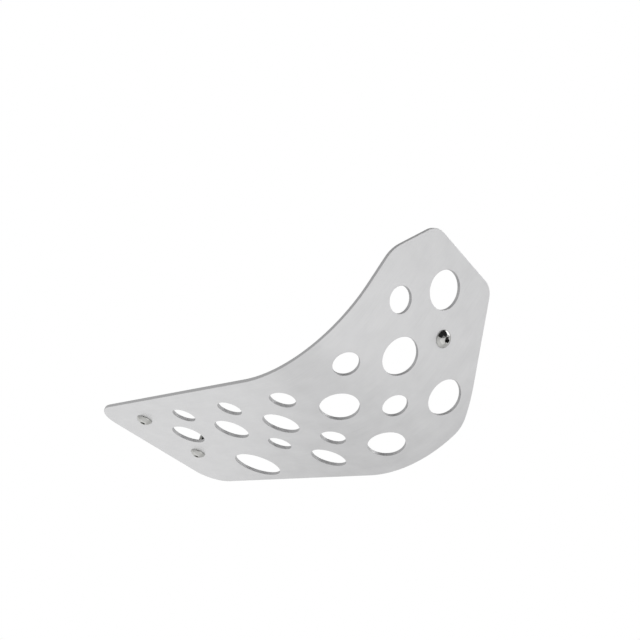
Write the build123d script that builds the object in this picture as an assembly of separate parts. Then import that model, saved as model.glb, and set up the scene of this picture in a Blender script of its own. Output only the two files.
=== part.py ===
from build123d import *
import math
import os

# Skid plate for a motorcycle: one aluminium sheet, pierced with round holes and rolled up at the front.
# Millimetres and degrees. +X runs forward, +Y to the rider's left and +Z up. The origin lies midway
# between the two rear screws, on the inner face of the bottom. Lengths along the sheet follow its outer face.

# Sheet and its one bend, from the rear edge forward
SHEET = 3.0
BOTTOM_LENGTH = 210.0
BEND_RADIUS = 105.0
BEND_ANGLE = 66.0
FRONT_LENGTH = 67.5

# Outline of the flat sheet, each reach measured from the middle row of holes
LEFT_REACH = 95.0
RIGHT_REACH = 60.0
TOP_WIDTH = 77.0
TAPER_ANGLE = 30.0
TOP_CORNER = 15.0
SHOULDER = 30.0
REAR_CORNER = 26.0

# Staggered pattern: large holes on a square lattice, small holes in the middle of its squares
LARGE_HOLE = 30.0
SMALL_HOLE = 20.0
PITCH = 60.0
FIRST_ROW = 72.0
LEAST_WEB = 8.0

# One larger hole near the left edge gives access to the engine from below
ACCESS_HOLE = 43.0
ACCESS_FROM_REAR = 100.0
ACCESS_FROM_LEFT = 31.0

# Button-head screws with a hexagon socket
SCREW_SIZE = 8.0
SCREW_LENGTH = 20.0
SCREW_POINT = 1.0
SCREW_CLEARANCE = 0.5
NECK_WIDTH = 6.6
NECK_BEYOND_SHEET = 0.4
HEAD_WIDTH = 14.0
HEAD_HEIGHT = 4.4
HEAD_RIM = 0.6
SOCKET_WIDTH = 4.0
SOCKET_DEPTH = 2.6

# Where the screws stand: a pair near the rear edge and one just above the bend
REAR_SCREW_INSET = 47.0
REAR_SCREW_SPACING = 66.0
FRONT_SCREW_RISE = 9.6
FRONT_SCREW_OFFSET = 24.0

# Worked out from the sizes above
OUTER_RADIUS = BEND_RADIUS + SHEET
BEND_LENGTH = OUTER_RADIUS * math.radians(BEND_ANGLE)
FRONT_START = BOTTOM_LENGTH + BEND_LENGTH
SHEET_LENGTH = FRONT_START + FRONT_LENGTH
THROUGH = 4 * SHEET


def on_sheet(along, across):
    """Place on the outer face, a distance along from the rear edge, with Z inwards through the sheet."""
    turn = min(max((along - BOTTOM_LENGTH) / OUTER_RADIUS, 0), math.radians(BEND_ANGLE))
    straight = along - BOTTOM_LENGTH - OUTER_RADIUS * turn
    x = BOTTOM_LENGTH + OUTER_RADIUS * math.sin(turn) + straight * math.cos(turn)
    z = OUTER_RADIUS * (1 - math.cos(turn)) + straight * math.sin(turn)
    return Location((x - REAR_SCREW_INSET, across, z - SHEET), (0, -math.degrees(turn), 0))


def screw_places():
    """Distance along and across the sheet of each screw."""
    pair = REAR_SCREW_SPACING / 2
    return [
        (REAR_SCREW_INSET, pair),
        (REAR_SCREW_INSET, -pair),
        (FRONT_START + FRONT_SCREW_RISE, FRONT_SCREW_OFFSET),
    ]


def access_place():
    """Distance along and across the sheet of the access hole."""
    return ACCESS_FROM_REAR, LEFT_REACH - ACCESS_FROM_LEFT


def flat_outline():
    """Sheet before rolling, with X along it from the rear edge and its front corners rounded."""
    half_top = TOP_WIDTH / 2
    slope = math.tan(math.radians(TAPER_ANGLE))
    outline = make_face(
        Polyline(
            (0, LEFT_REACH),
            (0, -RIGHT_REACH),
            (SHEET_LENGTH - (RIGHT_REACH - half_top) / slope, -RIGHT_REACH),
            (SHEET_LENGTH, -half_top),
            (SHEET_LENGTH, half_top),
            (SHEET_LENGTH - (LEFT_REACH - half_top) / slope, LEFT_REACH),
            close=True,
        )
    )
    shoulders = outline.vertices().sort_by(Axis.X)[2:4]
    outline = fillet(shoulders, SHOULDER)
    top_corners = outline.vertices().group_by(Axis.X)[-1]
    return fillet(top_corners, TOP_CORNER)


def lattice(first_row, first_column):
    """Every place on the sheet of a square lattice, as distances along and across."""
    rows = range(-int(first_row // PITCH), int((SHEET_LENGTH - first_row) // PITCH) + 1)
    to_right = -int((RIGHT_REACH + first_column) // PITCH)
    to_left = int((LEFT_REACH - first_column) // PITCH)
    columns = range(to_right, to_left + 1)
    return [(first_row + i * PITCH, first_column + j * PITCH) for i in rows for j in columns]


def open_places(places, radius, outline):
    """Places where a hole leaves enough web to the outline, the screw heads and the access hole."""
    room = offset(outline, -(radius + LEAST_WEB)).face()
    taken = [(place, HEAD_WIDTH / 2) for place in screw_places()]
    taken.append((access_place(), ACCESS_HOLE / 2))
    return [
        place
        for place in places
        if room.is_inside(place)
        and all(math.dist(place, other) >= radius + reach + LEAST_WEB for other, reach in taken)
    ]


def rolled_sheet():
    """Sheet rolled to its side view, a little wider than the finished plate."""
    bottom = Line((0, 0), (BOTTOM_LENGTH, 0))
    bend = JernArc(bottom @ 1, bottom % 1, OUTER_RADIUS, BEND_ANGLE)
    front = Line(bend @ 1, (bend @ 1) + FRONT_LENGTH * (bend % 1))
    section = make_face(offset(bottom + bend + front, SHEET, side=Side.LEFT))
    left_side = (-REAR_SCREW_INSET, LEFT_REACH + SHEET, -SHEET)
    side_view = Plane(left_side, x_dir=(1, 0, 0), z_dir=(0, -1, 0))
    return extrude(side_view * section, LEFT_REACH + RIGHT_REACH + 2 * SHEET)


def hole(place, diameter):
    """Tool that cuts a round hole square to the sheet."""
    return on_sheet(*place) * Cylinder(diameter / 2, THROUGH)


def skid_plate():
    """Rolled sheet trimmed to its outline and pierced."""
    outline = flat_outline()
    front_trim = Pos(X=-SHEET_LENGTH) * extrude(outline, SHEET_LENGTH, both=True)
    plate = rolled_sheet() & (on_sheet(SHEET_LENGTH, 0) * front_trim)
    rear_corners = plate.edges().filter_by(Axis.Z).group_by(Axis.X)[0]
    plate = fillet(rear_corners, REAR_CORNER)

    large = open_places(lattice(FIRST_ROW, 0), LARGE_HOLE / 2, outline)
    small = open_places(lattice(FIRST_ROW + PITCH / 2, PITCH / 2), SMALL_HOLE / 2, outline)
    plate -= [hole(place, LARGE_HOLE) for place in large]
    plate -= [hole(place, SMALL_HOLE) for place in small]
    plate -= [hole(place, SCREW_SIZE + 2 * SCREW_CLEARANCE) for place in screw_places()]
    return plate - hole(access_place(), ACCESS_HOLE)


def button_screw():
    """Screw with its seat at the origin, the domed head below, and the neck and thread up along Z."""
    dome = HEAD_HEIGHT - HEAD_RIM
    half_head = HEAD_WIDTH / 2
    dome_radius = (half_head**2 + dome**2) / (2 * dome)
    rim = Polyline((0, -HEAD_HEIGHT), (0, 0), (half_head, 0), (half_head, -HEAD_RIM))
    crown = RadiusArc((half_head, -HEAD_RIM), (0, -HEAD_HEIGHT), dome_radius)
    head = revolve(Plane.XZ * make_face(rim + crown), Axis.Z)
    key = RegularPolygon(SOCKET_WIDTH / 2, 6, major_radius=False)
    socket = Pos(Z=-HEAD_HEIGHT) * extrude(key, SOCKET_DEPTH)
    from_base = (Align.CENTER, Align.CENTER, Align.MIN)
    neck_length = SHEET + NECK_BEYOND_SHEET
    neck = Cylinder(NECK_WIDTH / 2, neck_length, align=from_base)
    thread = Cylinder(SCREW_SIZE / 2, SCREW_LENGTH - neck_length, align=from_base)
    thread = chamfer(thread.edges().group_by(Axis.Z)[-1], SCREW_POINT)
    return head - socket + neck + Pos(Z=neck_length) * thread


def mounting_screws():
    """The three screws, each seated on the outer face and square to it."""
    return Compound([on_sheet(*place) * button_screw() for place in screw_places()])


os.makedirs("parts", exist_ok=True)
export_step(skid_plate(), "parts/skid_plate.step")
export_step(mounting_screws(), "parts/mounting_screws.step")
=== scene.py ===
import logging
import math
from dataclasses import dataclass, field
from enum import Enum
from typing import Any, NamedTuple, Protocol

import bpy
import numpy as np
from bpy.types import Material, Node, NodeSocket, NodeTree, Object
from mathutils import Matrix, Vector
from mathutils.geometry import delaunay_2d_cdt
from numpy.typing import NDArray


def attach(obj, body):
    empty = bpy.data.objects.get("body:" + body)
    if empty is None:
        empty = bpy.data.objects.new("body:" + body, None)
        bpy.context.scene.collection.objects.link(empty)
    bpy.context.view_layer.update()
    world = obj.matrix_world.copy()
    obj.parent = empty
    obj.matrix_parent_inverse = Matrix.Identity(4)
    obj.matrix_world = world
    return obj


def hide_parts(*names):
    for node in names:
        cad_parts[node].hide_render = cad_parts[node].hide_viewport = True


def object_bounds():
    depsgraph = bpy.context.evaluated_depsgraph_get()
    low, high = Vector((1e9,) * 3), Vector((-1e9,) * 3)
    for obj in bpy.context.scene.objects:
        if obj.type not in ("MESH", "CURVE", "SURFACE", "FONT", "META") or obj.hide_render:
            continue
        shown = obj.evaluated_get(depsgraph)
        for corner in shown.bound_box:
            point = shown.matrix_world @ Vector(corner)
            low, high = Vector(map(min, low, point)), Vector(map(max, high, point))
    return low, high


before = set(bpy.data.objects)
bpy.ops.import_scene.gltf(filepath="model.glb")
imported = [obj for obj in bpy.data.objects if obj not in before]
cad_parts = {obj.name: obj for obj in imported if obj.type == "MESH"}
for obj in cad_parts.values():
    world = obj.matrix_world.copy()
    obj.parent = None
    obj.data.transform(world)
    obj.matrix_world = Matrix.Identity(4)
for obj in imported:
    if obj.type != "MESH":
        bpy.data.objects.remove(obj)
cad_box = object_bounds()

Floats = NDArray[np.float64]
Ints = NDArray[np.int64]
Bools = NDArray[np.bool_]
Pair = tuple[float, float]
Triple = tuple[float, float, float]
Colour = tuple[float, float, float, float]

# Shapes are worked out in millimetres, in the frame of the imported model, and become metres in the mesh
MM = 0.001
# Slack for what should be exact, such as a point on a line
HAIR = 1e-6
# Kind of filling that keeps to the inside of the outer loop
INSIDE_LOOP = 1
# Unit vector across the sheet to its left, the same all along it
SIDEWAYS = np.array([0.0, 1.0, 0.0])
log = logging.getLogger("skid_plate")


class Slot(Enum):
    """Material slots of the record."""

    SHEET = "sheet"
    SCREW = "screw"


class HoleKind(Enum):
    """Kinds of round hole through the sheet, with their diameters in millimetres."""

    LARGE = 30.0
    SMALL = 20.0
    ACCESS = 43.0
    SCREW = 9.0

    @property
    def radius(self) -> float:
        """Half the diameter."""
        return self.value / 2


class Mixed(Enum):
    """What a mixing node mixes: its kind of data, and the numbers of its two inputs and its output."""

    NUMBERS = ("FLOAT", 2, 3, 0)
    COLOURS = ("RGBA", 6, 7, 2)


@dataclass
class Surface:
    """A mesh in the making, as whole arrays.

    Args:
        points: Place of each vertex, in millimetres.
        quads: Four vertex numbers for each four-sided face.
        triangles: Three vertex numbers for each three-sided face.
        normals: Direction of the true surface at each vertex, where the shading follows it.
        flat: Place of each vertex on the flat sheet, in metres, where a pattern follows it.
        values: Named numbers or vectors at each vertex, read by a finish.
    """

    points: Floats
    quads: Ints
    triangles: Ints
    normals: Floats | None = None
    flat: Floats | None = None
    values: dict[str, Floats] = field(default_factory=dict)

    def to_object(self, name: str, material: Material) -> Object:
        """Put the arrays into a mesh object at the origin.

        Args:
            name: Name of the piece.
            material: Finish of the whole piece.

        Returns:
            The object, linked to the scene and shaded smooth.
        """
        mesh = bpy.data.meshes.new(name)
        faces = self.quads.tolist() + self.triangles.tolist()
        mesh.from_pydata((self.points * MM).tolist(), [], faces)
        mesh.shade_smooth()
        mesh.materials.append(material)
        if self.flat is not None:
            corner = np.empty(len(mesh.loops), np.int32)
            mesh.loops.foreach_get("vertex_index", corner)
            layer = mesh.uv_layers.new(name="sheet")
            layer.uv.foreach_set("vector", self.flat[corner].astype(np.float32).ravel())
        for label, numbers in self.values.items():
            kind, key = ("FLOAT", "value") if numbers.ndim == 1 else ("FLOAT_VECTOR", "vector")
            attribute = mesh.attributes.new(label, kind, "POINT")
            attribute.data.foreach_set(key, numbers.astype(np.float32).ravel())
        if self.normals is not None:
            mesh.normals_split_custom_set_from_vertices(self.normals.tolist())
        mesh.validate()
        piece = bpy.data.objects.new(name, mesh)
        bpy.context.scene.collection.objects.link(piece)
        return piece


def ring_quads(rows: int, columns: int) -> Ints:
    """Faces of a grid that closes on itself across its columns.

    Args:
        rows: Number of rows of vertices.
        columns: Number of vertices in each row.

    Returns:
        Vertex numbers of each face: along its row, on to the next row and back.
    """
    number = np.arange(rows * columns).reshape(rows, columns)
    turned = np.roll(number, -1, axis=1)
    return np.stack([number[:-1], turned[:-1], turned[1:], number[1:]], axis=-1).reshape(-1, 4)


def ring_fan(ring: Ints, hub: int) -> Ints:
    """Triangles that close a ring of vertices with a hub: two neighbours on the ring, then the hub."""
    return np.stack([ring, np.roll(ring, -1), np.full_like(ring, hub)], axis=1)


def inside(places: Floats, loop: Floats) -> Bools:
    """Which places lie inside a convex loop.

    A place is inside where it lies on or to the left of every edge of an anticlockwise loop.

    Args:
        places: Flat points to test.
        loop: Points of the loop, anticlockwise.

    Returns:
        True for each place inside.
    """
    edge = np.roll(loop, -1, axis=0) - loop
    away = places[:, None] - loop
    return (edge[:, 0] * away[..., 1] - edge[:, 1] * away[..., 0] > -HAIR).all(axis=1)


@dataclass(frozen=True)
class SideView:
    """Side view of the rolled sheet: a flat bottom, one bend and a flat front.

    Sizes are millimetres. Lengths run along the outer face from the rear edge, and the frame's origin lies
    on the inner face, origin_inset from that edge.
    """

    thickness: float = 3.0
    bottom: float = 210.0
    bend_radius: float = 105.0
    bend_degrees: float = 66.0
    front: float = 67.5
    origin_inset: float = 47.0
    samples: int = 1201

    @property
    def outer_radius(self) -> float:
        """Radius of the bend on the outer face."""
        return self.bend_radius + self.thickness

    @property
    def front_start(self) -> float:
        """Length at which the bend ends and the flat front begins."""
        return self.bottom + self.outer_radius * math.radians(self.bend_degrees)

    @property
    def length(self) -> float:
        """Length of the whole sheet."""
        return self.front_start + self.front

    def directions(self, along: Floats) -> tuple[Floats, Floats]:
        """Unit vectors of the sheet at some lengths along it.

        The sheet has turned by the length past the bottom over the radius, held within the bend.

        Args:
            along: Lengths along the sheet.

        Returns:
            The vectors forward along the sheet, and those out of its outer face.
        """
        past = np.clip(along, self.bottom, self.front_start) - self.bottom
        turn = past / self.outer_radius
        level = np.zeros_like(turn)
        forward = np.stack([np.cos(turn), level, np.sin(turn)], axis=-1)
        outward = np.stack([np.sin(turn), level, -np.cos(turn)], axis=-1)
        return forward, outward

    def points(self, along: Floats, across: Floats | float, depth: float) -> Floats:
        """Places at a depth under the outer face.

        Each place is the bend's centre, plus the radius less the depth outwards, plus what the length has
        left before or after the bend along the sheet's own direction.

        Args:
            along: Lengths along the sheet.
            across: Distances to the left of the middle row of holes.
            depth: Distance under the outer face.

        Returns:
            Points in the frame.
        """
        forward, outward = self.directions(along)
        straight = along - np.clip(along, self.bottom, self.front_start)
        places = (self.outer_radius - depth) * outward + straight[..., None] * forward
        places += np.array([self.bottom - self.origin_inset, 0.0, self.bend_radius])
        places[..., 1] += across
        return places

    def unrolled(self, touch: float, offset: Floats, depth: float, reach: float) -> Floats:
        """Lengths along the sheet of points given in the plane that touches it at one place.

        A cut square to the sheet at that place keeps its shape in the plane. The plane's coordinate is
        worked out for lengths on both sides and read backwards.

        Args:
            touch: Length at which the plane touches the outer face.
            offset: Distances forward in the plane.
            depth: Distance under the outer face.
            reach: Greatest distance to look at.

        Returns:
            Lengths along the sheet.
        """
        near = touch + np.linspace(-reach, reach, self.samples)
        here = np.array(touch)
        forward, _ = self.directions(here)
        start = self.points(here, 0.0, 0.0)
        plane = (self.points(near, 0.0, depth) - start) @ forward
        return np.interp(offset, plane, near)


class Rim(Protocol):
    """A closed edge of the sheet, followed with the metal on its left."""

    def trace(self, inset: float, depth: float) -> tuple[Floats, Floats]:
        """Lengths along and distances across, at an inset into the metal and a depth."""

    def inward(self) -> Floats:
        """Unit vectors from the edge into the metal, in the frame."""


@dataclass(frozen=True)
class RoundHole:
    """A round hole, cut square to the sheet at its centre. Segment is the spacing of points on its rim."""

    side: SideView
    kind: HoleKind
    along: float
    across: float
    segment: float = 1.1
    fewest: int = 48

    def angles(self) -> Floats:
        """Even angles round the hole, clockwise, so that the metal is on the left.

        Returns:
            Angles about a segment apart at the rim, in a multiple of four.
        """
        girth = 2 * math.pi * self.kind.radius
        count = max(self.fewest, 4 * round(girth / self.segment / 4))
        return -2 * math.pi * np.arange(count) / count

    def trace(self, inset: float, depth: float) -> tuple[Floats, Floats]:
        """A circle in the plane that touches the sheet at the centre, carried back on to the sheet.

        Args:
            inset: Distance from the rim into the metal.
            depth: Distance under the outer face.

        Returns:
            Lengths along and distances across.
        """
        radius = self.kind.radius + inset
        angle = self.angles()
        along = self.side.unrolled(self.along, radius * np.cos(angle), depth, 2 * radius)
        return along, self.across + radius * np.sin(angle)

    def inward(self) -> Floats:
        """Away from the hole's centre, in the plane that touches the sheet there.

        Returns:
            A unit vector for each place on the rim.
        """
        forward, _ = self.side.directions(np.array(self.along))
        angle = self.angles()
        return np.cos(angle)[:, None] * forward + np.sin(angle)[:, None] * SIDEWAYS


@dataclass(frozen=True)
class Outline:
    """Outer edge of the sheet: square at the rear, tapered to a narrow top at the front, corners rounded.

    Left and right are measured from the middle row of holes, and step is the spacing of points on the edges.
    """

    side: SideView
    left: float = 95.0
    right: float = 60.0
    top_width: float = 77.0
    taper_degrees: float = 30.0
    rear_corner: float = 26.0
    shoulder: float = 30.0
    top_corner: float = 15.0
    step: float = 3.0
    corner_points: int = 13
    front_samples: int = 201

    def corners(self) -> tuple[Floats, Floats]:
        """Sharp corners of the flat outline, anticlockwise from the right rear one.

        Returns:
            Lengths along and distances across of the corners, and the radius of each.
        """
        half = self.top_width / 2
        slope = math.tan(math.radians(self.taper_degrees))
        length = self.side.length
        points = [
            (0.0, -self.right),
            (length - (self.right - half) / slope, -self.right),
            (length, -half),
            (length, half),
            (length - (self.left - half) / slope, self.left),
            (0.0, self.left),
        ]
        radii = [self.rear_corner, self.shoulder, self.top_corner]
        return np.array(points), np.array(radii + radii[::-1])

    def arcs(self, inset: float) -> tuple[Floats, Floats]:
        """Rounded corners of the flat outline.

        Each arc's centre lies its radius inside both edges of its corner, and the arc runs from the normal
        of one edge to that of the next. A radius smaller than the inset gives way to it.

        Args:
            inset: Distance inside the edge that the arcs have to allow.

        Returns:
            Points of the arcs and the outward direction at each, by corner and place on its arc.
        """
        points, radii = self.corners()
        radii = np.maximum(radii, inset)
        edge = np.roll(points, -1, axis=0) - points
        edge /= np.linalg.norm(edge, axis=1, keepdims=True)
        after = np.stack([edge[:, 1], -edge[:, 0]], axis=1)
        before = np.roll(after, 1, axis=0)
        fold = 1 + (before * after).sum(axis=1, keepdims=True)
        centres = points - radii[:, None] * (before + after) / fold

        start = np.arctan2(before[:, 1], before[:, 0])
        sweep = (np.arctan2(after[:, 1], after[:, 0]) - start) % (2 * math.pi)
        angle = start[:, None] + sweep[:, None] * np.linspace(0, 1, self.corner_points)
        outward = np.stack([np.cos(angle), np.sin(angle)], axis=-1)
        return centres[:, None] + radii[:, None, None] * outward, outward

    def rounded(self, inset: float) -> tuple[Floats, Floats]:
        """The flat outline at an inset, with its corners as arcs.

        Even points on each straight edge lead from one arc to the next, as many as the edge itself has room
        for. An inset beyond a corner's radius leaves that corner sharp.

        Args:
            inset: Distance inside the edge.

        Returns:
            Points of the outline, and the outward direction at each.
        """
        edge_arcs, round_out = self.arcs(inset)
        arcs = edge_arcs - inset * round_out
        traced, outward = [], []
        for corner, (arc, out) in enumerate(zip(arcs, round_out)):
            following = (corner + 1) % len(arcs)
            gap = np.linalg.norm(edge_arcs[following][0] - edge_arcs[corner][-1])
            share = np.linspace(0, 1, math.ceil(gap / self.step) + 1)[1:-1, None]
            straight = (1 - share) * arc[-1] + share * arcs[following][0]
            traced += [arc, straight]
            outward += [out, np.broadcast_to(out[-1], straight.shape)]
        return np.concatenate(traced), np.concatenate(outward)

    def trace(self, inset: float, depth: float) -> tuple[Floats, Floats]:
        """The rounded outline on the sheet.

        The front is trimmed square to itself, so down to the shoulders the outline lies in its plane. Below
        them the sides run straight, and any even spacing along them will do.

        Args:
            inset: Distance from the edge into the metal.
            depth: Distance under the outer face.

        Returns:
            Lengths along and distances across.
        """
        flat, _ = self.rounded(inset)
        points, _ = self.corners()
        low = points[:, 0][points[:, 0] > 0].min() - self.shoulder / 2
        in_plane = np.linspace(low, self.side.length, self.front_samples)
        reach = 2 * (self.side.length - low)
        on_sheet = self.side.unrolled(self.side.length, in_plane - self.side.length, depth, reach)
        known = np.concatenate([[0.0, self.side.bottom], in_plane])
        lengths = np.concatenate([[0.0, self.side.bottom], on_sheet])
        return np.interp(flat[:, 0], known, lengths), flat[:, 1]

    def inward(self) -> Floats:
        """Into the metal, in the plane of the bottom for the rear half and of the front for the rest.

        Returns:
            A unit vector for each place on the outline.
        """
        flat, outward = self.rounded(0.0)
        where = np.where(flat[:, 0] < self.side.bottom, 0.0, self.side.length)
        forward, _ = self.side.directions(where)
        return -outward[:, :1] * forward - outward[:, 1:] * SIDEWAYS


class EdgeRows(NamedTuple):
    """Rows of an edge section, from the outer face round to the inner one.

    Each row has its distance from the edge into the metal, its depth under the outer face, and the shares of
    its normal out of the outer face and out of the cut wall.
    """

    inset: Floats
    depth: Floats
    facing: Floats
    cut: Floats


@dataclass(frozen=True)
class EdgeSection:
    """Section through the sheet's edge: a collar on each face, a rounded arris at each and the cut wall."""

    thickness: float
    arris: float = 0.4
    collar: float = 2.0
    arris_points: int = 4

    def rows(self) -> EdgeRows:
        """Work out the section.

        Each arris is a quarter circle, from the face at one arris radius inside the edge to the wall. The
        first row is the collar's, on the face.

        Returns:
            The rows, the second half of them a mirror image of the first.
        """
        angle = np.linspace(0, math.pi / 2, self.arris_points)
        sine = np.concatenate([[0.0], np.sin(angle)])
        cosine = np.concatenate([[1.0], np.cos(angle)])
        inset = self.arris * (1 - sine)
        inset[0] = self.collar
        depth = self.arris * (1 - cosine)
        return EdgeRows(
            inset=np.concatenate([inset, inset[::-1]]),
            depth=np.concatenate([depth, self.thickness - depth[::-1]]),
            facing=np.concatenate([cosine, -cosine[::-1]]),
            cut=np.concatenate([sine, sine[::-1]]),
        )


@dataclass(frozen=True)
class HolePattern:
    """Places of the round holes on the flat sheet.

    Large holes stand on a square lattice with small ones in the middle of its squares, wherever a hole
    leaves enough web to the outline, the screw heads and the access hole.
    """

    side: SideView
    outline: Outline
    head_radius: float
    pitch: float = 60.0
    first_row: float = 72.0
    least_web: float = 8.0
    access_from_rear: float = 100.0
    access_from_left: float = 31.0
    rear_screw_spacing: float = 66.0
    front_screw_rise: float = 9.6
    front_screw_offset: float = 24.0

    def screws(self) -> Floats:
        """Places of the screws.

        Returns:
            Lengths along and distances across, the rear pair first.
        """
        pair = self.rear_screw_spacing / 2
        rear = self.side.origin_inset
        front = self.side.front_start + self.front_screw_rise
        return np.array([(rear, pair), (rear, -pair), (front, self.front_screw_offset)])

    def access(self) -> Floats:
        """Length along and distance across of the access hole."""
        return np.array([(self.access_from_rear, self.outline.left - self.access_from_left)])

    def lattice(self, kind: HoleKind, first_row: float, first_column: float) -> list[RoundHole]:
        """Holes of one kind on a square lattice.

        Args:
            kind: Kind of hole.
            first_row: Length along of one row.
            first_column: Distance across of one column.

        Returns:
            The holes that have room.
        """
        most = math.ceil(self.side.length / self.pitch)
        steps = np.arange(-most, most + 1) * self.pitch
        grid = np.meshgrid(first_row + steps, first_column + steps, indexing="ij")
        places = np.stack(grid, axis=-1).reshape(-1, 2)
        room, _ = self.outline.rounded(kind.radius + self.least_web)
        open_here = inside(places, room)
        for taken, reach in ((self.screws(), self.head_radius), (self.access(), HoleKind.ACCESS.radius)):
            apart = np.linalg.norm(places[:, None] - taken, axis=-1).min(axis=1)
            open_here &= apart >= kind.radius + reach + self.least_web
        return [RoundHole(self.side, kind, *place) for place in places[open_here]]

    def holes(self) -> list[RoundHole]:
        """Every round hole of the sheet.

        Returns:
            Large holes, small ones, the access hole and those for the screws.
        """
        every = self.lattice(HoleKind.LARGE, self.first_row, 0.0)
        every += self.lattice(HoleKind.SMALL, self.first_row + self.pitch / 2, self.pitch / 2)
        every += [RoundHole(self.side, HoleKind.ACCESS, *place) for place in self.access()]
        return every + [RoundHole(self.side, HoleKind.SCREW, *place) for place in self.screws()]


class NodeSheet:
    """Short ways to lay nodes into one shader tree."""

    def __init__(self, tree: NodeTree) -> None:
        """Start on the emptied tree of a material, a world or a group."""
        self.tree = tree
        tree.nodes.clear()

    def add(self, kind: str, inputs: dict[str | int, Any], **settings: Any) -> Node:
        """Add one node.

        Args:
            kind: Blender's name for the node's type.
            inputs: Values or sockets for its inputs, by name or number.
            settings: Its own properties.

        Returns:
            The node.
        """
        node = self.tree.nodes.new(kind)
        for key, value in settings.items():
            setattr(node, key, value)
        for key, value in inputs.items():
            if isinstance(value, NodeSocket):
                self.tree.links.new(value, node.inputs[key])
            else:
                node.inputs[key].default_value = value
        return node

    def arithmetic(self, operation: str, first: Any, second: Any) -> NodeSocket:
        """One step of arithmetic on two numbers."""
        return self.add("ShaderNodeMath", {0: first, 1: second}, operation=operation).outputs[0]

    def ranged(
        self, value: Any, source: Pair = (0.0, 1.0), target: Pair = (0.0, 1.0), soft: bool = False
    ) -> NodeSocket:
        """A number carried from one range to another.

        Args:
            value: Value or socket.
            source: Range that it is held to.
            target: Range that it goes to.
            soft: Whether it starts and ends gently.

        Returns:
            The result.
        """
        (low, high), (start, end) = source, target
        inputs = {"Value": value, "From Min": low, "From Max": high, "To Min": start, "To Max": end}
        kind = "SMOOTHSTEP" if soft else "LINEAR"
        return self.add("ShaderNodeMapRange", inputs, interpolation_type=kind).outputs[0]

    def mix(self, kind: Mixed, share: Any, first: Any, second: Any) -> NodeSocket:
        """A number or a colour between two others.

        Args:
            kind: What is mixed.
            share: How far the result goes from the first to the second, from 0 to 1.
            first: Value or socket for a share of 0.
            second: Value or socket for a share of 1.

        Returns:
            The result.
        """
        data_type, from_first, from_second, result = kind.value
        inputs = {"Factor": share, from_first: first, from_second: second}
        return self.add("ShaderNodeMix", inputs, data_type=data_type).outputs[result]

    def shaders(self, share: Any, first: Node, second: Node) -> Node:
        """A mix of two shaders."""
        inputs = {0: share, 1: first.outputs[0], 2: second.outputs[0]}
        return self.add("ShaderNodeMixShader", inputs)

    def grain(self, group: NodeTree, place: Any, stretch: Triple) -> NodeSocket:
        """The shared grain at one stretch of a place."""
        return self.add("ShaderNodeGroup", {0: place, 1: stretch}, node_tree=group).outputs["Value"]

    def metal(self, colour: Any, roughness: Any, height: Any, relief: float, strength: float) -> None:
        """End a material's tree as bare metal with a fine relief.

        Args:
            colour: Colour of the metal.
            roughness: Its roughness.
            height: Shape of the relief, from 0 to 1.
            relief: Height of the relief, in metres.
            strength: How strongly the relief turns the light.
        """
        bump = self.add("ShaderNodeBump", {"Height": height, "Distance": relief, "Strength": strength})
        shader = self.add(
            "ShaderNodeBsdfPrincipled",
            {"Base Color": colour, "Metallic": 1.0, "Roughness": roughness, "Normal": bump.outputs[0]},
        )
        self.add("ShaderNodeOutputMaterial", {"Surface": shader.outputs[0]})


def new_material(name: str) -> tuple[Material, NodeSheet]:
    """A material with an empty tree.

    Args:
        name: Name of the finish.

    Returns:
        The material and a sheet for its nodes.
    """
    material = bpy.data.materials.new(name)
    material.use_nodes = True
    return material, NodeSheet(material.node_tree)


@dataclass(frozen=True)
class MetalGrain:
    """Soft streaks or clouds, which every metal here uses."""

    detail: float = 3.0
    roughness: float = 0.6
    lowest: float = 0.3
    highest: float = 0.7

    def group(self) -> NodeTree:
        """Build the shared group.

        A place is multiplied by a stretch, smooth noise is read there, and the part of it between lowest and
        highest is spread from 0 to 1.

        Returns:
            A group that takes the place and the stretch and gives the value.
        """
        tree = bpy.data.node_groups.new("metal_grain", "ShaderNodeTree")
        tree.interface.new_socket("Place", in_out="INPUT", socket_type="NodeSocketVector")
        tree.interface.new_socket("Stretch", in_out="INPUT", socket_type="NodeSocketVector")
        tree.interface.new_socket("Value", in_out="OUTPUT", socket_type="NodeSocketFloat")
        sheet = NodeSheet(tree)
        place, stretch = sheet.add("NodeGroupInput", {}).outputs[:2]
        drawn = sheet.add("ShaderNodeVectorMath", {0: place, 1: stretch}, operation="MULTIPLY").outputs[0]
        inputs = {"Vector": drawn, "Scale": 1.0, "Detail": self.detail, "Roughness": self.roughness}
        noise = sheet.add("ShaderNodeTexNoise", inputs).outputs[0]
        sheet.add("NodeGroupOutput", {0: sheet.ranged(noise, source=(self.lowest, self.highest))})
        return tree


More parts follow.
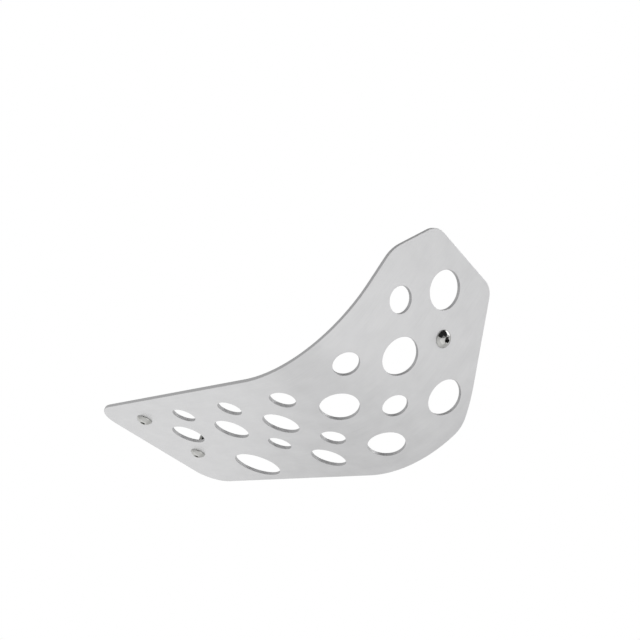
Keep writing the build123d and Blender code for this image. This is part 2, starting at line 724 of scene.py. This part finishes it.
@dataclass(frozen=True)
class SatinAluminium:
    """Rolled aluminium with a satin face, a fine grain along it, and rougher cut edges whose darker colour
    is partly their own finish and partly painted shade.

    Streaks, clouds and teeth are stretches of the flat sheet, in steps to the metre along and across.
    """

    light: Colour = (0.705, 0.705, 0.71, 1.0)
    dark: Colour = (0.615, 0.615, 0.62, 1.0)
    # Darker colour of the cut walls: partly their duller finish, partly painted shade
    cut: Colour = (0.42, 0.42, 0.425, 1.0)
    streaks: Triple = (30.0, 1800.0, 1.0)
    streak_share: float = 0.45
    clouds: Triple = (50.0, 70.0, 1.0)
    cloud_share: float = 0.55
    teeth: Triple = (1500.0, 1500.0, 1.0)
    teeth_share: float = 0.5
    smoothest: float = 0.34
    roughest: float = 0.44
    cut_roughness: float = 0.5
    relief: float = 0.00002
    relief_strength: float = 0.3

    def material(self, grain: NodeTree) -> Material:
        """Make the finish, which reads the sheet's flat map and its cut value.

        Args:
            grain: The shared group.

        Returns:
            The material.
        """
        material, sheet = new_material("satin_aluminium")
        place = sheet.add("ShaderNodeUVMap", {}, uv_map="sheet").outputs[0]
        cut = sheet.add("ShaderNodeAttribute", {}, attribute_name="cut").outputs["Fac"]
        streaks = sheet.grain(grain, place, self.streaks)
        clouds = sheet.grain(grain, place, self.clouds)
        teeth = sheet.grain(grain, place, self.teeth)

        streaked = sheet.arithmetic("MULTIPLY", streaks, self.streak_share)
        clouded = sheet.arithmetic("MULTIPLY", clouds, self.cloud_share)
        toothed = sheet.arithmetic("MULTIPLY", teeth, self.teeth_share)
        mottled = sheet.arithmetic("ADD", streaked, clouded)
        face = sheet.mix(Mixed.COLOURS, mottled, self.dark, self.light)
        # Cut walls take the darker colour: partly their finish, partly painted shade
        wall = sheet.mix(Mixed.COLOURS, toothed, self.cut, self.dark)
        colour = sheet.mix(Mixed.COLOURS, cut, face, wall)
        face_roughness = sheet.ranged(mottled, target=(self.smoothest, self.roughest))
        roughness = sheet.mix(Mixed.NUMBERS, cut, face_roughness, self.cut_roughness)
        height = sheet.mix(Mixed.NUMBERS, cut, streaks, teeth)
        sheet.metal(colour, roughness, height, self.relief, self.relief_strength)
        return material


@dataclass(frozen=True)
class PolishedSteel:
    """Stainless steel, polished on the head, with faint turning marks, a duller thread, and painted shade
    that darkens the socket.

    Turning is the stretch of the marks: round the axis, and in steps to the millimetre along the profile.
    """

    bright: Colour = (0.5, 0.5, 0.485, 1.0)
    # Dark colour: in full in the socket, as painted shade; a little of it on the duller thread
    dull_and_shaded: Colour = (0.16, 0.157, 0.152, 1.0)
    turning: Triple = (0.7, 0.7, 9.0)
    polish: float = 0.04
    marks: float = 0.1
    worked_roughness: float = 0.32
    relief: float = 0.00001
    relief_strength: float = 0.2

    def material(self, grain: NodeTree) -> Material:
        """Make the finish, which reads how each screw was turned, where its thread was worked, and where its
        socket is darkened with painted shade.

        Args:
            grain: The shared group.

        Returns:
            The material.
        """
        material, sheet = new_material("polished_steel")
        turned = sheet.add("ShaderNodeAttribute", {}, attribute_name="turned").outputs["Vector"]
        worked_and_shaded = sheet.add("ShaderNodeAttribute", {}, attribute_name="worked_and_shaded").outputs["Fac"]
        marks = sheet.grain(grain, turned, self.turning)
        # Painted shade: the socket takes the dark colour in full, while the worked thread takes a little of
        # it
        colour = sheet.mix(Mixed.COLOURS, worked_and_shaded, self.bright, self.dull_and_shaded)
        head_roughness = sheet.ranged(marks, target=(self.polish, self.marks))
        roughness = sheet.mix(Mixed.NUMBERS, worked_and_shaded, head_roughness, self.worked_roughness)
        sheet.metal(colour, roughness, marks, self.relief, self.relief_strength)
        return material


class Strip(NamedTuple):
    """An edge section carried round a rim, by row of the section and place round the rim.

    The flat places are lengths along and distances across.
    """

    points: Floats
    normals: Floats
    flat: Floats


@dataclass(frozen=True)
class SkidPlate:
    """The sheet itself: two faces of one rolled surface, joined round its outline and every hole.

    Spacing is that of the points which fill the faces.
    """

    side: SideView
    outline: Outline
    pattern: HolePattern
    spacing: float = 5.0

    def strip(self, rim: Rim, rows: EdgeRows) -> Strip:
        """The edge section carried round a rim.

        Args:
            rim: The outline or a hole.
            rows: Section of the edge.

        Returns:
            The strip.
        """
        traces = [rim.trace(inset, depth) for inset, depth in zip(rows.inset, rows.depth)]
        points = np.stack([self.side.points(*trace, depth) for trace, depth in zip(traces, rows.depth)])
        along, across = np.stack(traces, axis=1)
        _, outward = self.side.directions(along)
        normals = rows.facing[:, None, None] * outward - rows.cut[:, None, None] * rim.inward()
        normals /= np.linalg.norm(normals, axis=-1, keepdims=True)
        return Strip(points, normals, np.stack([along, across], axis=-1))

    def filling(self, edge: Floats, holes: list[RoundHole], collar: float) -> Floats:
        """Flat points that fill the face between its rims, in staggered rows.

        Args:
            edge: Flat collar of the outline.
            holes: Every hole.
            collar: Width of the collars.

        Returns:
            Points that keep clear of every collar.
        """
        row_gap = self.spacing * math.sqrt(3) / 2
        rows = np.arange(0.0, self.side.length, row_gap)
        columns = np.arange(-self.outline.right, self.outline.left, self.spacing)
        grid = np.stack(np.meshgrid(rows, columns, indexing="ij"), axis=-1)
        grid[1::2, :, 1] += self.spacing / 2
        places = grid.reshape(-1, 2)
        clear = self.spacing / 2
        room, _ = self.outline.rounded(collar + clear)
        free = inside(places, edge) & inside(places, room)
        centres = np.array([(hole.along, hole.across) for hole in holes])
        radii = np.array([hole.kind.radius for hole in holes])
        apart = np.linalg.norm(places[:, None] - centres, axis=-1)
        free &= (apart > radii + collar + clear).all(axis=1)
        return places[free]

    def triangles(self, loops: list[Floats], filling: Floats) -> Ints:
        """Triangles of one face between its collars, anticlockwise on the flat sheet.

        A triangle that has all its corners on one hole's collar lies in the hole and is left out.

        Args:
            loops: Flat collar of each rim, the outline first.
            filling: Points between them.

        Returns:
            Numbers of points, counted through the loops and then the filling.
        """
        sizes = [len(loop) for loop in loops]
        owner = np.repeat(np.arange(len(loops) + 1), [*sizes, len(filling)])
        starts = np.cumsum([0, *sizes])
        rings = [start + np.arange(size) for start, size in zip(starts, sizes)]
        edges = np.concatenate([np.stack([ring, np.roll(ring, -1)], axis=1) for ring in rings])
        flat = [Vector(place) for place in np.concatenate([*loops, filling]).tolist()]
        _, _, faces, *_ = delaunay_2d_cdt(flat, edges.tolist(), [], INSIDE_LOOP, HAIR)
        numbers = np.array(faces, np.int64)
        whose = owner[numbers]
        in_hole = (whose == whose[:, :1]).all(axis=1) & (whose[:, 0] > 0) & (whose[:, 0] < len(loops))
        return numbers[~in_hole]

    def faces(self, rows: int, loops: list[Floats], filling: Floats) -> tuple[Ints, Ints]:
        """Faces of the whole sheet, whose vertices run through the strips and then both faces' filling.

        Round each rim the strip is a grid. Its first and last rows are the collars, between which each face
        is filled with the same triangles, turned round on the outer one.

        Args:
            rows: Number of rows in a strip.
            loops: Flat collar of each rim, the outline first.
            filling: Points between them.

        Returns:
            The strips' faces with four sides, and the triangles of the filling.
        """
        sizes = [len(loop) for loop in loops]
        *starts, end = np.cumsum([0, *(rows * size for size in sizes)])
        spans = list(zip(starts, sizes))
        quads = np.concatenate([start + ring_quads(rows, size) for start, size in spans])
        fill = end + np.arange(len(filling))
        outer = np.concatenate([start + np.arange(size) for start, size in spans] + [fill])
        last_rows = [start + (rows - 1) * size + np.arange(size) for start, size in spans]
        inner = np.concatenate(last_rows + [fill + len(filling)])
        triangles = self.triangles(loops, filling)
        return quads, np.concatenate([outer[triangles[:, ::-1]], inner[triangles]])

    def surface(self) -> Surface:
        """Work out the whole sheet: a strip round each rim, and both faces filled between the strips.

        Returns:
            The closed surface, with the flat place and the cut value of each vertex.
        """
        section = EdgeSection(self.side.thickness)
        rows = section.rows()
        holes = self.pattern.holes()
        strips = [self.strip(rim, rows) for rim in (self.outline, *holes)]
        loops = [strip.flat[0] for strip in strips]
        filling = self.filling(loops[0], holes, section.collar)
        quads, triangles = self.faces(len(rows.cut), loops, filling)

        along, across = filling.T
        _, outward = self.side.directions(along)
        points = [strip.points.reshape(-1, 3) for strip in strips]
        points += [self.side.points(along, across, depth) for depth in (0.0, self.side.thickness)]
        normals = [strip.normals.reshape(-1, 3) for strip in strips] + [outward, -outward]
        flat = [strip.flat.reshape(-1, 2) for strip in strips] + [filling, filling]
        cuts = [np.repeat(rows.cut, len(loop)) for loop in loops] + [np.zeros(2 * len(filling))]
        return Surface(
            points=np.concatenate(points),
            quads=quads,
            triangles=triangles,
            normals=np.concatenate(normals),
            flat=np.concatenate(flat) * MM,
            values={"cut": np.concatenate(cuts)},
        )

    def build(self, finish: SatinAluminium, grain: NodeTree) -> Object:
        """Make the sheet in the place of its plain solid.

        Args:
            finish: Finish of the sheet.
            grain: The shared group.

        Returns:
            The piece.
        """
        piece = self.surface().to_object("rolled_sheet", finish.material(grain))
        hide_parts("skid_plate")
        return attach(piece, "root")


class ScrewRows(NamedTuple):
    """Rows of a screw's surface: distances from the axis and heights by row and angle.

    The last list says how far each row takes the dark colour: a little on the thread, which is worked and
    not polished, and in full in the socket, as painted shade.
    """

    radius: Floats
    height: Floats
    worked_and_shaded: Floats


@dataclass(frozen=True)
class ButtonScrew:
    """One screw with its seat at the origin, the domed head below and the thread up along Z.

    Sizes are millimetres, and the widths of crest and root are shares of the pitch.
    """

    size: float = 8.0
    length: float = 20.0
    point: float = 1.0
    pitch: float = 1.25
    crest_share: float = 0.125
    root_share: float = 0.25
    neck: float = 6.6
    neck_length: float = 3.4
    neck_fillet: float = 0.3
    head_width: float = 14.0
    head_height: float = 4.4
    head_rim: float = 0.6
    socket: float = 4.0
    socket_depth: float = 2.6
    mouth: float = 4.9
    edge: float = 0.15
    thread_worked: float = 0.2
    columns: int = 72
    dome_rows: int = 15
    edge_rows: int = 4
    rows_per_turn: int = 12

    def hexagon(self, angle: Floats) -> Floats:
        """Distance from the axis to the socket's wall at each angle, with a corner at angle 0."""
        side = math.pi / 3
        return self.socket / 2 / np.cos(angle % side - side / 2)

    def profile(self) -> Floats:
        """Round rows of the head, from the socket's mouth over the dome to the neck.

        The dome is an arc of the sphere that meets the rim and the top. The seat's edge is a quarter circle,
        and so is the fillet that leads from the seat into the neck.

        Returns:
            Distance from the axis and height of each row.
        """
        half = self.head_width / 2
        rise = self.head_height - self.head_rim
        sphere = (half**2 + rise**2) / (2 * rise)
        lean = np.linspace(math.asin(self.mouth / 2 / sphere), math.asin(half / sphere), self.dome_rows)
        dome = np.stack([sphere * np.sin(lean), sphere - self.head_height - sphere * np.cos(lean)], axis=1)
        quarter = np.linspace(0, math.pi / 2, self.edge_rows)
        leaving, nearing = 1 - np.cos(quarter), 1 - np.sin(quarter)
        seat_edge = np.stack([half - self.edge * leaving, -self.edge * nearing], axis=1)
        bore = self.neck / 2
        fillet = np.stack([bore + self.neck_fillet * nearing, self.neck_fillet * leaving], axis=1)
        return np.concatenate([dome, seat_edge, fillet])

    def head(self, angle: Floats) -> ScrewRows:
        """Rows from the floor of the socket over the dome to the neck.

        The socket's rows follow the hexagon, from halfway out on its floor to the foot of a bevel that leads
        to the round mouth. All but the last of them take the dark colour in full, as painted shade.

        Args:
            angle: Angles round the axis.

        Returns:
            The rows.
        """
        profile = self.profile()
        wall = self.hexagon(angle)
        floor = self.socket_depth - self.head_height
        bevel_end = profile[0, 1] + (self.mouth - self.socket) / 2
        levels = np.concatenate([[floor, floor, bevel_end + self.edge, bevel_end], profile[:, 1]])
        round_radius = np.repeat(profile[:, :1], len(angle), axis=1)
        return ScrewRows(
            radius=np.concatenate([np.stack([wall / 2, wall, wall, wall]), round_radius]),
            height=np.repeat(levels[:, None], len(angle), axis=1),
            # Socket rows take the dark colour in full, as painted shade
            worked_and_shaded=np.concatenate([[1.0, 1.0, 1.0, 0.0], np.zeros(len(profile))]),
        )

    def thread(self, angle: Floats) -> ScrewRows:
        """Rows from the end of the neck up the thread to the point.

        The thread's depth follows the height less the turn's share of the pitch, with a flat crest an eighth
        of the pitch wide and a flat root twice that. It fades in over the first turn, and the point's bevel
        cuts it off.

        Args:
            angle: Angles round the axis.

        Returns:
            The rows.
        """
        count = math.ceil((self.length - self.neck_length) / self.pitch * self.rows_per_turn)
        level = np.linspace(self.neck_length, self.length, count)
        height = np.repeat(level[:, None], len(angle), axis=1)
        phase = (height / self.pitch - angle / (2 * math.pi)) % 1.0
        from_crest = 2 * np.abs(phase - 0.5)
        flank_end = 1 - self.root_share
        tooth = np.clip((flank_end - from_crest) / (flank_end - self.crest_share), 0, 1)
        fade = np.clip((height - self.neck_length) / self.pitch, 0, 1)
        root = self.neck / 2
        radius = root + (self.size / 2 - root) * tooth * fade
        bevel = self.size / 2 - self.point + self.length - height
        return ScrewRows(np.minimum(radius, bevel), height, np.full(count, self.thread_worked))

    def surface(self) -> Surface:
        """Work out one screw as rows of a surface round its axis, closed by a point at each end.

        Turned is the cosine and sine of the angle, and the length walked along the mean profile.

        Returns:
            The closed surface, with how it was turned and how far it takes the dark colour: on the thread
            for its worked finish, in the socket as painted shade.
        """
        angle = 2 * math.pi * np.arange(self.columns) / self.columns
        parts = zip(self.head(angle), self.thread(angle))
        radius, height, worked_and_shaded = (np.concatenate(part) for part in parts)
        rows = len(radius)
        walked = np.hypot(np.diff(radius.mean(axis=1)), np.diff(height.mean(axis=1)))
        profile = np.concatenate([[0.0], np.cumsum(walked)])
        grid = np.stack([radius * np.cos(angle), radius * np.sin(angle), height], axis=-1).reshape(-1, 3)
        ends = np.array([(0.0, 0.0, height[0, 0]), (0.0, 0.0, height[-1, 0])])
        turning = np.stack(np.broadcast_arrays(np.cos(angle), np.sin(angle), profile[:, None]), axis=-1)
        end_turning = np.array([(0.0, 0.0, profile[0]), (0.0, 0.0, profile[-1])])
        ring = np.arange(self.columns)
        floor_fan = ring_fan(ring, len(grid))[:, [1, 0, 2]]
        point_fan = ring_fan(ring + (rows - 1) * self.columns, len(grid) + 1)
        return Surface(
            points=np.concatenate([grid, ends]),
            quads=ring_quads(rows, self.columns),
            triangles=np.concatenate([floor_fan, point_fan]),
            values={
                "turned": np.concatenate([turning.reshape(-1, 3), end_turning]),
                "worked_and_shaded": np.concatenate([np.repeat(worked_and_shaded, self.columns), worked_and_shaded[[0, -1]]]),
            },
        )


@dataclass(frozen=True)
class MountingScrews:
    """The three screws, each seated on the outer face and square to it."""

    side: SideView
    pattern: HolePattern
    screw: ButtonScrew
    sharp_degrees: float = 32.0

    def surface(self) -> Surface:
        """One screw's surface, set at each place with its axis into the sheet.

        Returns:
            All three in one surface.
        """
        one = self.screw.surface()
        along, across = self.pattern.screws().T
        seat = self.side.points(along, across, 0.0)
        forward, outward = self.side.directions(along)
        axes = np.stack([forward, np.broadcast_to(SIDEWAYS, forward.shape), -outward], axis=1)
        points = seat[:, None] + one.points @ axes
        shift = np.arange(len(seat))[:, None, None] * len(one.points)
        return Surface(
            points=points.reshape(-1, 3),
            quads=(one.quads + shift).reshape(-1, 4),
            triangles=(one.triangles + shift).reshape(-1, 3),
            values={name: np.concatenate([value] * len(seat)) for name, value in one.values.items()},
        )

    def build(self, finish: PolishedSteel, grain: NodeTree) -> Object:
        """Make the screws in the place of their plain solids.

        Args:
            finish: Finish of the screws.
            grain: The shared group.

        Returns:
            The piece.
        """
        piece = self.surface().to_object("button_screws", finish.material(grain))
        piece.data.set_sharp_from_angle(angle=math.radians(self.sharp_degrees))
        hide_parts("mounting_screws")
        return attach(piece, "root")


@dataclass(frozen=True)
class Lamp:
    """A square soft box, which may light one piece alone. Places are metres, the power is watts."""

    name: str
    place: Triple
    size: float
    power: float
    lights_only: str | None = None

    def build(self, target: Vector) -> None:
        """Hang the lamp, out of the camera's sight.

        Args:
            target: Place that it is turned to.
        """
        light = bpy.data.lights.new(self.name, "AREA")
        light.shape = "SQUARE"
        light.size = self.size
        light.energy = self.power
        lamp = bpy.data.objects.new(self.name, light)
        lamp.visible_camera = False
        lamp.location = self.place
        lamp.rotation_mode = "QUATERNION"
        lamp.rotation_quaternion = (target - lamp.location).to_track_quat("-Z", "Y")
        bpy.context.scene.collection.objects.link(lamp)
        if self.lights_only:
            lit = bpy.data.collections.new(f"{self.name}_lights")
            lit.objects.link(bpy.data.objects[self.lights_only])
            lamp.light_linking.receiver_collection = lit


@dataclass(frozen=True)
class Viewpoint:
    """The camera, below the plate and in front of it on the right. Angles are degrees, places metres."""

    place: Triple = (0.54658, -0.32653, -0.21290)
    azimuth: float = 50.49
    elevation: float = -31.05
    roll: float = 18.27
    lens: float = 39.51
    sensor: float = 36.0

    def build(self) -> None:
        """Make the camera: turned by the azimuth, tipped by the elevation, then rolled about its own axis.

        A camera that isn't turned looks straight down, so a level one is tipped by 90 degrees.
        """
        data = bpy.data.cameras.new("camera")
        data.lens = self.lens
        data.sensor_width = self.sensor
        camera = bpy.data.objects.new("camera", data)
        turn = Matrix.Rotation(math.radians(self.azimuth), 4, "Z")
        tip = Matrix.Rotation(math.radians(90.0 - self.elevation), 4, "X")
        roll = Matrix.Rotation(math.radians(self.roll), 4, "Z")
        camera.matrix_world = Matrix.Translation(self.place) @ turn @ tip @ roll
        bpy.context.scene.collection.objects.link(camera)
        bpy.context.scene.camera = camera


def grey(level: float) -> Colour:
    """A grey of one level."""
    return (level, level, level, 1.0)


@dataclass(frozen=True)
class Studio:
    """White backdrop, pale floor, soft lamps and the camera. Lengths are metres, angles degrees."""

    white: Colour = grey(1.0)
    ambient: float = 0.75
    floor_colour: Colour = grey(0.9)
    floor_radius: float = 1.6
    floor_middle: float = 0.02
    floor_fades_from: float = 0.3
    floor_rings: int = 12
    floor_columns: int = 96
    lamps: tuple[Lamp, ...] = (
        Lamp("top_box", (0.1, 0.2, 1.3), 1.4, 5.0, lights_only="floor"),
        Lamp("key_box", (0.80, 0.57, 1.0), 0.6, 2.4),
        Lamp("front_box", (0.95, 0.15, -0.39), 1.2, 1.35),
        Lamp("rear_box", (-0.72, 0.15, -0.65), 1.2, 1.15),
        Lamp("fill_box", (1.15, -0.98, 0.48), 1.9, 9.0, lights_only="rolled_sheet"),
        Lamp("left_box", (-0.45, 0.9, 0.85), 2.0, 3.5, lights_only="rolled_sheet"),
    )
    # Brightness of floor, walls and ceiling as metal sees them, from straight down to straight up
    walls: tuple[Pair, ...] = (
        (-1.0, 1.0),
        (-0.6, 0.74),
        (-0.1, 0.75),
        (0.15, 0.92),
        (0.5, 0.75),
        (1.0, 0.45),
    )
    # A dark flag on the camera's side, which gives polished metal its contrast
    flag_azimuth: float = -38.0
    flag_elevation: float = 22.0
    flag_edge: Pair = (51.0, 49.0)
    flag_level: float = 0.03

    def surroundings(self, sheet: NodeSheet) -> NodeSocket:
        """The studio as metal sees it: walls of changing brightness, with the dark flag before them.

        The walls follow the height of the direction. The flag covers the directions within an angle of its
        middle, whose cosine is the product of the two.

        Args:
            sheet: Sheet of the world's nodes.

        Returns:
            The colour in each direction.
        """
        way = sheet.add("ShaderNodeTexCoord", {}).outputs["Generated"]
        upward = sheet.add("ShaderNodeSeparateXYZ", {"Vector": way}).outputs["Z"]
        ramp = sheet.add("ShaderNodeValToRGB", {"Fac": sheet.ranged(upward, source=(-1.0, 1.0))})
        stops = ramp.color_ramp.elements
        while len(stops) < len(self.walls):
            stops.new(0.5)
        for stop, (height, level) in zip(stops, self.walls):
            stop.position = (height + 1) / 2
            stop.color = grey(level)
        turn, tip = math.radians(self.flag_azimuth), math.radians(self.flag_elevation)
        middle = (math.cos(turn) * math.cos(tip), math.sin(turn) * math.cos(tip), math.sin(tip))
        near = sheet.add("ShaderNodeVectorMath", {0: way, 1: middle}, operation="DOT_PRODUCT")
        outer, inner = (math.cos(math.radians(edge)) for edge in self.flag_edge)
        flag = sheet.ranged(near.outputs["Value"], source=(outer, inner))
        return sheet.mix(Mixed.COLOURS, flag, ramp.outputs[0], grey(self.flag_level))

    def backdrop(self) -> None:
        """White to the camera, the surroundings to metal, and an even ambient light to the floor."""
        world = bpy.data.worlds.new("studio")
        world.use_nodes = True
        bpy.context.scene.world = world
        sheet = NodeSheet(world.node_tree)
        around = self.surroundings(sheet)
        path = sheet.add("ShaderNodeLightPath", {}).outputs
        mirrored = sheet.arithmetic("MAXIMUM", path["Is Glossy Ray"], path["Is Transmission Ray"])
        even = sheet.add("ShaderNodeBackground", {"Color": self.white, "Strength": self.ambient})
        walls = sheet.add("ShaderNodeBackground", {"Color": around, "Strength": 1.0})
        white = sheet.add("ShaderNodeBackground", {"Color": self.white, "Strength": 1.0})
        lit = sheet.shaders(mirrored, even, walls)
        seen = sheet.shaders(path["Is Camera Ray"], lit, white)
        sheet.add("ShaderNodeOutputWorld", {"Surface": seen.outputs[0]})

    def floor_material(self) -> Material:
        """Pale and matt to a camera above it, clear from below and to other rays, fading out with distance.

        Returns:
            The material.
        """
        material, sheet = new_material("pale_floor")
        place = sheet.add("ShaderNodeTexCoord", {}).outputs["Object"]
        away = sheet.add("ShaderNodeVectorMath", {0: place}, operation="LENGTH").outputs["Value"]
        fade = sheet.ranged(away, (self.floor_fades_from, self.floor_radius), (1.0, 0.0), soft=True)
        path = sheet.add("ShaderNodeLightPath", {}).outputs
        below = sheet.add("ShaderNodeNewGeometry", {}).outputs["Backfacing"]
        above = sheet.arithmetic("SUBTRACT", 1.0, below)
        shown = sheet.arithmetic("MULTIPLY", path["Is Camera Ray"], above)
        share = sheet.arithmetic("MULTIPLY", shown, fade)
        clear = sheet.add("ShaderNodeBsdfTransparent", {})
        matt = sheet.add("ShaderNodeBsdfDiffuse", {"Color": self.floor_colour})
        mixed = sheet.shaders(share, clear, matt)
        sheet.add("ShaderNodeOutputMaterial", {"Surface": mixed.outputs[0]})
        return material

    def floor(self, level: float) -> None:
        """A round floor, as rings about its middle, at the foot of the part.

        Args:
            level: Height of the part's lowest point, in metres.
        """
        angle = 2 * math.pi * np.arange(self.floor_columns) / self.floor_columns
        radius = np.linspace(self.floor_middle, self.floor_radius, self.floor_rings)[:, None]
        x, y = radius * np.cos(angle), radius * np.sin(angle)
        rings = np.stack([x, y, np.full_like(x, level)], axis=-1).reshape(-1, 3)
        middle = np.array([(0.0, 0.0, level)])
        surface = Surface(
            points=np.concatenate([rings, middle]) / MM,
            quads=ring_quads(self.floor_rings, self.floor_columns)[:, ::-1],
            triangles=ring_fan(np.arange(self.floor_columns), len(rings)),
        )
        surface.to_object("floor", self.floor_material())

    def build(self, low: Vector, high: Vector) -> None:
        """Set up the studio round the part's box.

        Args:
            low: Lowest corner of the part.
            high: Highest corner of the part.
        """
        self.backdrop()
        self.floor(low.z)
        for lamp in self.lamps:
            lamp.build((low + high) / 2)
        Viewpoint().build()
        bpy.context.scene.view_settings.view_transform = "Standard"


def main() -> None:
    """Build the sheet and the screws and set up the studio."""
    logging.basicConfig(level=logging.INFO, format="%(message)s")
    side = SideView()
    outline = Outline(side)
    screw = ButtonScrew()
    pattern = HolePattern(side, outline, screw.head_width / 2)
    grain = MetalGrain().group()
    pieces = [
        SkidPlate(side, outline, pattern).build(SatinAluminium(), grain),
        MountingScrews(side, pattern, screw).build(PolishedSteel(), grain),
    ]
    for piece in pieces:
        log.info("%s: %d vertices, %d faces", piece.name, len(piece.data.vertices), len(piece.data.polygons))
    Studio().build(*cad_box)


if __name__ == "__main__":
    main()
